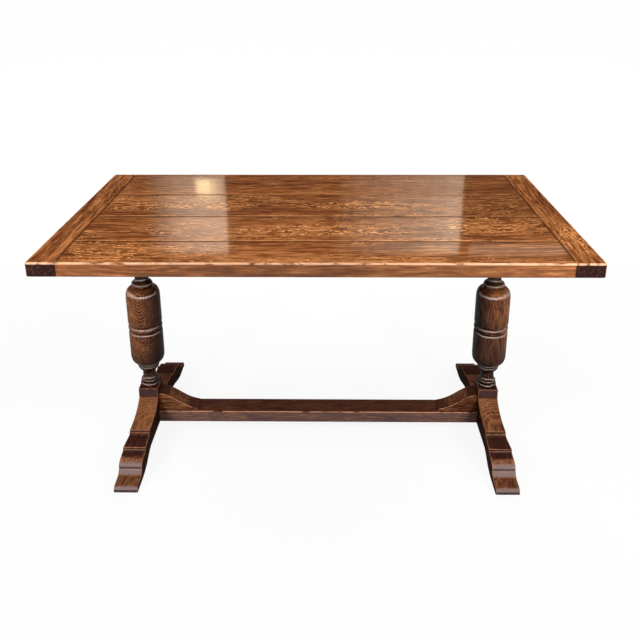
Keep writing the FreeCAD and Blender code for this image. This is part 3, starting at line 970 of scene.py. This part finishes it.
# The front face of the front board is painted lighter.
painted_light_front = Patch("light", 0.18, look=front_face)
board_seats = {
    "board_back": {
        "heart": (0.3, 0.30, 0.02), "flecks": 0.3, "shade": -0.06, "patches": [end_grain("X"), painted_shade_right_end],
    },
    "board_mid_back": {
        "heart": (1.7, -0.42, 0.03), "flecks": 0.85, "shade": -0.14, "patches": [end_grain("X"), painted_shade_right_end],
        "spots": [spot(-0.6, 0.06, 0.14, 0.08), spot(-0.36, 0.06, 0.22, 0.07), spot(0.15, 0.06, 0.3, 0.06)],
    },
    "board_mid_front": {
        "heart": (3.1, 0.55, -0.02), "flecks": 0.9, "shade": -0.09,
        "spots": [spot(0.0, -0.18, 0.34, 0.07), spot(0.5, -0.16, 0.2, 0.07)],
    },
    "board_front": {
        "heart": (4.4, -0.35, 0.04), "flecks": 0.95, "shade": -0.04, "patches": [end_grain("X"), painted_light_front],
        "spots": [spot(-0.56, -0.35, 0.16, 0.1)],
    },
}


def board_edges(node):
    """The joints, the bright edge and the outer arrises of a board."""
    low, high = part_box(node)
    inner_sides = [y for y in (low.y, high.y) if abs(y) < cad_box[1].y - edge_band]
    outer_sides = [y for y in (low.y, high.y) if y not in inner_sides]
    seams = lines_at(axis_y, high.y) if high.y in inner_sides else []
    seams += [((side * cleat_joint, 0, 0), narrow_x) for side in hands.values()]
    return {
        "seams": seams,
        "bright_edges": [((0, low.y, table_top), counts_yz)] if low.y in inner_sides else [],
        "arrises": [((0, y, table_top), counts_yz) for y in outer_sides],
    }


for node, seat in board_seats.items():
    finish = oak(node + "_oak", node, "X", tones=top_tones, **seat, **board_edges(node))
    worn_copy(node, along_x, finish)

# %% Cleats
cleat_end_share = 1.0
cleat_seats = {
    "cleat_left": {"heart": (2.2, 0.25, 0.03), "flecks": 0.4, "streaks": 1.3, "shade": 0.08},
    "cleat_right": {"heart": (5.2, -0.3, 0.02), "flecks": 0.8, "spots": [spot(0.73, -0.25, 0.06, 0.16)]},
}


def cleat_edges(node, side):
    """The joint and the outer arrises of a cleat."""
    low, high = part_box(node)
    arrises = [((side * cad_box[1].x, 0, table_top), counts_xz)]
    arrises += [((0, y, table_top), counts_yz) for y in (low.y, high.y)]
    return {"seams": [((side * cleat_joint, 0, 0), narrow_x)], "arrises": arrises}


for hand, side in hands.items():
    node = "cleat_" + hand
    patches = [end_grain("Y", cleat_end_share)]
    traits = {**cleat_seats[node], **cleat_edges(node, side)}
    finish = oak(node + "_oak", node, "Y", tones=top_tones, patches=patches, **traits)
    worn_copy(node, along_y, finish)

# %% [markdown]
# ## The base
# Feet, bearers and brackets are sawn to an outline and planed, and the stretcher is a plain rail. The
# feet and bearers get their arrises eased here, and the CAD model already eases the others. Inner
# corners of the mouldings are filled a little, as wax and dust fill them. A foot is sawn from a
# plank whose rings lie flat, so its curved back cuts across them and shows level lines. Its treads,
# noses, sides, block top and back half are darkened with painted shade, its toes get a painted grey
# sheen, and the front sweep of the left foot is painted lighter. The tops of the rails get painted shade too.

# %% Sawn and planed pieces
foot_ease = 0.0018
ease_segments = 3
corner_fill = 0.0014
fill_segments = 1
corner_length = 0.05
base_wear = 0.0005
base_wear_size = 0.02
base_traits = {"fineness": 2.2, "rub": 0.5}


def moulded(node, grain, heart, ease, slices, **traits):
    """A sawn piece with worn arrises, eased here or, where ease is 0, already in the CAD model."""
    finish = oak(node + "_oak", node, grain, heart, foot_tones, **{**base_traits, **traits})
    bm = copy_node(node)
    if ease:
        round_edges(bm, outer_arrises(bm), ease, ease_segments, "arris")
        round_edges(bm, inner_corners(bm, corner_length), corner_fill, fill_segments, "hollow")
    else:
        mark_slanted(bm, along_y)
    for axis, step in slices:
        slice_along(bm, axis, step)
    wear(bm, base_wear, base_wear_size)
    keep_piece(bm, node + "_worn", node, finish)


print("base: arrises eased by", round(foot_ease / mm, 2), "mm")

# %% Patches of a foot
front_sweep = lines_at(axis_y, -0.112)
back_half = lines_at(axis_y, 0.2)
block_top = lines_at(axis_y, 0)
treads = lines_at(axis_y, -0.235, 0.235)
toes = lines_at(axis_y, -0.32, 0.32)
noses = lines_at(axis_y, -0.36, 0.36)
level_face = (axis_z, 0.955, 0.99)
nose_face = (axis_z, 0.9, 0.97)
sloping_face = (axis_z, 0.3, 0.6)
swept_face = (axis_z, 0.2, 0.6)
rail_top = (axis_z, 0.86, 0.95)
side_face = (axis_x, 0.86, 0.95)
foot_end = (axis_y, 0.9, 0.97)
rounded_end = (axis_y, 0.25, 0.7)
# The front sweep of the left foot is painted lighter, as if lit.
painted_light_sweeps = {"left": 0.2, "right": 0.0}


def foot_patches(hand):
    """Painted light, shade and sheen of a foot. A zone fades between two distances from its features."""
    return [
        Patch("light", painted_light_sweeps[hand], swept_face, (front_sweep, 0.05, 0.075)),
        # Painted shade darkens the back half, the treads, the block top, the noses and the sides.
        Patch("dull", 0.7, sloping_face, (back_half, 0.16, 0.17)),
        Patch("dull", 0.95, level_face, (treads, 0.045, 0.055)),
        Patch("dull", 0.9, level_face, (block_top, 0.045, 0.05)),
        Patch("dull", 0.35, nose_face, (noses, 0.03, 0.04)),
        # The grey on the toes is a painted sheen.
        Patch("scuff", 0.85, rounded_end, (toes, 0.058, 0.07)),
        Patch("end", 0.9, foot_end),
        Patch("dull", 0.9, side_face),
    ]


# The tops of the brackets and the stretcher are darkened with painted shade.
painted_shade_rail_top = Patch("dull", 0.75, rail_top)
# The front of the stretcher gets a painted grey sheen.
painted_sheen_rail_front = Patch("scuff", 0.3, front_face)
print("foot:", len(foot_patches("left")), "patches")

# %% Feet, bearers, brackets and stretcher
foot_slices = ((along_x, 0.012), (along_y, 0.014))
rail_slices = ((along_x, 0.02),)
foot_traits = {
    "ring": 0.005, "rings": 0.5, "ring_tone": "light", "wobble": 0.4, "dashes": 0.8,
    "polish": 0.12, "gloss": 0.2,
}
bearer_traits = {"polish": 0.1, "gloss": 0.1}
rail_traits = {"polish": 0.08, "gloss": 0.1, "rub": 0.95}
for number, hand in enumerate(hands):
    foot_heart = (0.7 + number, 0.05, 0.5)
    bearer_heart = (2.7 + number, 0.4, 0.1)
    bracket_heart = (3.7 + number, 0.3, -0.1)
    patches = foot_patches(hand)
    moulded("foot_" + hand, "Y", foot_heart, foot_ease, foot_slices, patches=patches, **foot_traits)
    moulded("bearer_" + hand, "Y", bearer_heart, foot_ease, (), **bearer_traits)
    moulded("bracket_" + hand, "X", bracket_heart, 0, (), patches=[painted_shade_rail_top], **rail_traits)
stretcher_heart = (6.0, 0.3, 0.05)
moulded(
    "stretcher", "X", stretcher_heart, 0, rail_slices, patches=[painted_shade_rail_top, painted_sheen_rail_front], **rail_traits
)

# %% [markdown]
# ## The columns
# A column is turned on a lathe: one outline, carried round an axis. That is a rule, so Geometry Nodes
# make it. A Screw modifier would turn it too, but one tree with named inputs serves both columns.
# The outline is read off the CAD column, along the line where its surface closes on itself, and the
# tree lays a grid of points over it: each row takes its radius and height from one point of the
# outline, and each step along the row turns it a little further.

# %% Read the outline
outline_digits = 6
axis_gap = 0.01
barrel_share = 0.8
hollow_span = 0.003
hollow_gain = 0.8
least_size = 1e-9


def turned_outline(node):
    """The points of a column's outline from foot to top, as radius and height, and its axis."""
    low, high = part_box(node)
    axis = (low + high) / 2
    found = {
        (round(v.co.z, outline_digits), round(v.co.x - axis.x, outline_digits))
        for v in cad_nodes[node].data.vertices
        if abs(v.co.y) < merge_gap and v.co.x - axis.x > axis_gap
    }
    outline = [(0.0, low.z)]
    waiting = sorted(found)
    while waiting:
        level = waiting[0][0]
        same = [point for point in waiting if point[0] == level]
        same.sort(key=lambda point: abs(point[1] - outline[-1][0]))
        outline += [(r, z) for z, r in same]
        waiting = waiting[len(same):]
    return outline + [(0.0, high.z)], Vector((axis.x, axis.y, 0))


def sanded(outline, step, reach):
    """Rounds the edges of the barrel: its points take the mean radius about them, where that is less."""
    thick = barrel_share * max(r for r, z in outline)
    points = []
    for (r, z), (next_r, next_z) in zip(outline, outline[1:]):
        count = max(1, round((next_z - z) / step)) if min(r, next_r) > thick else 1
        points += [(r + (next_r - r) * k / count, z + (next_z - z) * k / count) for k in range(count)]
    points.append(outline[-1])
    rounded = []
    for r, z in points:
        about = [p for p, q in points if abs(q - z) < reach and p > thick]
        rounded.append((min(r, sum(about) / len(about)) if r > thick else r, z))
    return rounded


def hollow_share(outline, k):
    """How much an outline turns inwards about a point, from 0 to 1."""
    here = Vector(outline[k])
    before = next((Vector(p) for p in outline[k::-1] if (Vector(p) - here).length > hollow_span), here)
    after = next((Vector(p) for p in outline[k:] if (Vector(p) - here).length > hollow_span), here)
    turn = (here - before).cross(after - here)
    size = max((here - before).length * (after - here).length, least_size)
    return min(max(-turn / size * hollow_gain, 0.0), 1.0)


print("outline:", len(turned_outline("column_left")[0]), "points from foot to top")

# %% The lathe
lathe_inputs = {"Outline": "Geometry", "Facets": "Int", "Axis": "Vector", "Oak": "Material"}
pole_gap = 1e-5
half_a_point = 0.5


def lathe_tree():
    """Geometry nodes that carry an outline round an upright axis."""
    tree = bpy.data.node_groups.new("turned_column", "GeometryNodeTree")
    for label, kind in lathe_inputs.items():
        tree.interface.new_socket(label, in_out="INPUT", socket_type="NodeSocket" + kind)
    tree.interface.new_socket("Column", in_out="OUTPUT", socket_type="NodeSocketGeometry")
    inputs = tree.nodes.new("NodeGroupInput")
    outline, facets, axis, wood = [Wire(tree, inputs.outputs[k]) for k in range(len(lathe_inputs))]
    pen = Wire(tree)
    rows = pen.node("GeometryNodeAttributeDomainSize", {"component": "MESH"}, {"Geometry": outline})
    across = facets + 1
    grid = pen.node("GeometryNodeMeshGrid", {}, {"Vertices X": rows, "Vertices Y": across})
    index = pen.node("GeometryNodeInputIndex")
    row = pen.math("FLOOR", (index + half_a_point) / across)
    step = index - row * across

    def sampled(kind, value):
        """A value of the outline's point for this row."""
        sockets = {"Geometry": outline, "Value": value, "Index": row}
        return pen.node("GeometryNodeSampleIndex", {"data_type": kind}, sockets)

    point = sampled("FLOAT_VECTOR", pen.node("GeometryNodeInputPosition"))
    turned = pen.node(
        "ShaderNodeVectorRotate",
        {"rotation_type": "Z_AXIS"},
        {"Vector": point, "Angle": step / facets * (2 * math.pi)},
    )
    placed = vectors("ADD", turned, axis)
    skin = pen.node("GeometryNodeSetPosition", {}, {"Geometry": grid, "Position": placed})
    named = {"Name": "hollow"}
    hollow = pen.node("GeometryNodeInputNamedAttribute", {"data_type": "FLOAT"}, named, "Attribute")
    marked_skin = pen.node(
        "GeometryNodeStoreNamedAttribute",
        {"data_type": "FLOAT", "domain": "POINT"},
        {"Geometry": skin, "Value": sampled("FLOAT", hollow), **named},
    )
    closed = pen.node("GeometryNodeMergeByDistance", {}, {"Geometry": marked_skin, "Distance": pole_gap})
    whole = pen.node("GeometryNodeRealizeInstances", {}, {"Geometry": closed})
    done = pen.node("GeometryNodeSetMaterial", {}, {"Geometry": whole, "Material": wood})
    out = tree.nodes.new("NodeGroupOutput")
    tree.links.new(done.socket, out.inputs[0])
    return tree


lathe = lathe_tree()
input_ids = {item.name: item.identifier for item in lathe.interface.items_tree if item.in_out == "INPUT"}
print("lathe:", len(lathe.nodes), "nodes")

# %% Set a blank on the lathe
column_facets = 128
sand_step = 0.0015
sand_reach = 0.005


def turn_blank(name, outline, axis, finish):
    """Turns an outline into a closed skin, as mesh data to work on."""
    line = bpy.data.meshes.new(name + "_outline")
    line.from_pydata([(r, 0, z) for r, z in outline], [(k, k + 1) for k in range(len(outline) - 1)], [])
    hollow = line.attributes.new("hollow", "FLOAT", "POINT")
    for k in range(len(outline)):
        hollow.data[k].value = hollow_share(outline, k)
    blank = bpy.data.objects.new(name + "_blank", line)
    bpy.context.scene.collection.objects.link(blank)
    turning = blank.modifiers.new("turning", "NODES")
    turning.node_group = lathe
    turning[input_ids["Facets"]] = column_facets
    turning[input_ids["Axis"]] = axis
    turning[input_ids["Oak"]] = finish
    bpy.context.view_layer.update()
    mesh = bpy.data.meshes.new_from_object(blank.evaluated_get(bpy.context.evaluated_depsgraph_get()))
    blank.modifiers.clear()
    bpy.data.objects.remove(blank)
    bm = bmesh.new()
    bm.from_mesh(mesh)
    bmesh.ops.recalc_face_normals(bm, faces=bm.faces)
    return bm


print("blank:", column_facets, "facets round")

# %% Turn the columns
# On the columns the dark in the hollows paints the shade in the grooves.
column_traits = {
    "ring_tone": "light", "polish": 0.2, "gloss": 0.07, "dashes": 0.8, "streaks": 0.9,
    "fineness": 2.4, "hollow_dirt_and_shade": 0.8,
}
column_seats = {
    "left": {"heart": (0.4, 0.15, 0.0), "lean": (0.0, -0.3), "ring": 0.0034, "rings": 0.65, "wobble": 2.0},
    "right": {"heart": (1.9, 0.3, 0.05), "lean": (0.01, 0.02), "ring": 0.005, "rings": 0.3},
}


def column_patches(hand, axis, girth):
    """Painted shade at the neck, towards the foot and on the inner side of a column."""
    neck = lines_at(axis_z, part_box("bearer_" + hand)[0].z)
    foot = lines_at(axis_z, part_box("foot_" + hand)[1].z)
    inner_side = lines_at(axis_x, axis.x - hands[hand] * girth)
    # Every patch here paints shade: under the bearer, towards the foot and on the side facing the other
    # column.
    return [
        Patch("soot", 0.95, zone=(neck, 0.08, 0.12)),
        Patch("soot", 0.75, zone=(foot, 0.09, 0.17)),
        Patch("soot", 0.3, zone=(foot, 0.2, 0.32)),
        Patch("soot", 0.6, zone=(inner_side, 0.015, 0.06)),
    ]


for hand, seat in column_seats.items():
    node = "column_" + hand
    outline, axis = turned_outline(node)
    outline = sanded(outline, sand_step, sand_reach)
    girth = max(r for r, z in outline)
    patches = column_patches(hand, axis, girth)
    finish = oak(node + "_oak", node, "Z", tones=column_tones, patches=patches, **column_traits, **seat)
    bm = turn_blank(node, outline, axis, finish)
    turned_pieces.objects.link(keep_piece(bm, node + "_turned", node, finish))

# %% [markdown]
# ## Joinery that hardly shows
# Tongues, pegs, wedges, dowels and screws are seen only from below or not at all. They could be remade
# as the rest is, but their CAD shapes are right, so they stay and get paler oak, or worn steel.

# %% Joinery finishes
clean_steel = paint(150, 148, 145)
brown_stain = paint(84, 58, 42)
stain_edge = (0.42, 0.62)
stain_depth = 0.7
steel_roughness = 0.38
stain_roughness = 0.3
joinery_polish = 0.1
heart_step = 0.9
heart_side = (0.1, 0.05)
joinery_grain = {
    "tongue_back": "X", "tongue_middle": "X", "tongue_front": "X", "cleat_pegs": "Z",
    "upper_wedges": "Z", "lower_wedges": "Z", "stretcher_pegs": "Z", "bracket_dowels": "X",
}
screw_groups = ("top_screws", "bracket_screws")


def steel(name):
    """Dull screw steel with brown stains."""
    finish, pen = empty_finish(name)
    place = pen.node("ShaderNodeTexCoord", output="Object")
    stain = marks(place, "stains").rise(*stain_edge)
    surface = pen.node(
        "ShaderNodeBsdfPrincipled",
        {},
        {
            "Base Color": blend(stain, clean_steel, brown_stain),
            "Metallic": 1 - stain * stain_depth,
            "Roughness": steel_roughness + stain * stain_roughness,
        },
    )
    pen.node("ShaderNodeOutputMaterial", {}, {"Surface": surface})
    return finish


for number, (node, grain) in enumerate(joinery_grain.items()):
    heart = (heart_step * number, *heart_side)
    finish = oak(node + "_oak", node, grain, heart, joinery_tones, polish=joinery_polish)
    cad_nodes[node].material_slots[0].material = finish
screw_finish = steel("screw_steel_worn")
for node in screw_groups:
    cad_nodes[node].material_slots[0].material = screw_finish
print("joinery:", len(joinery_grain), "oak nodes and", len(screw_groups), "groups of screws")

# %% [markdown]
# ## Size
# The dressed table has to stay inside the box of the CAD table.
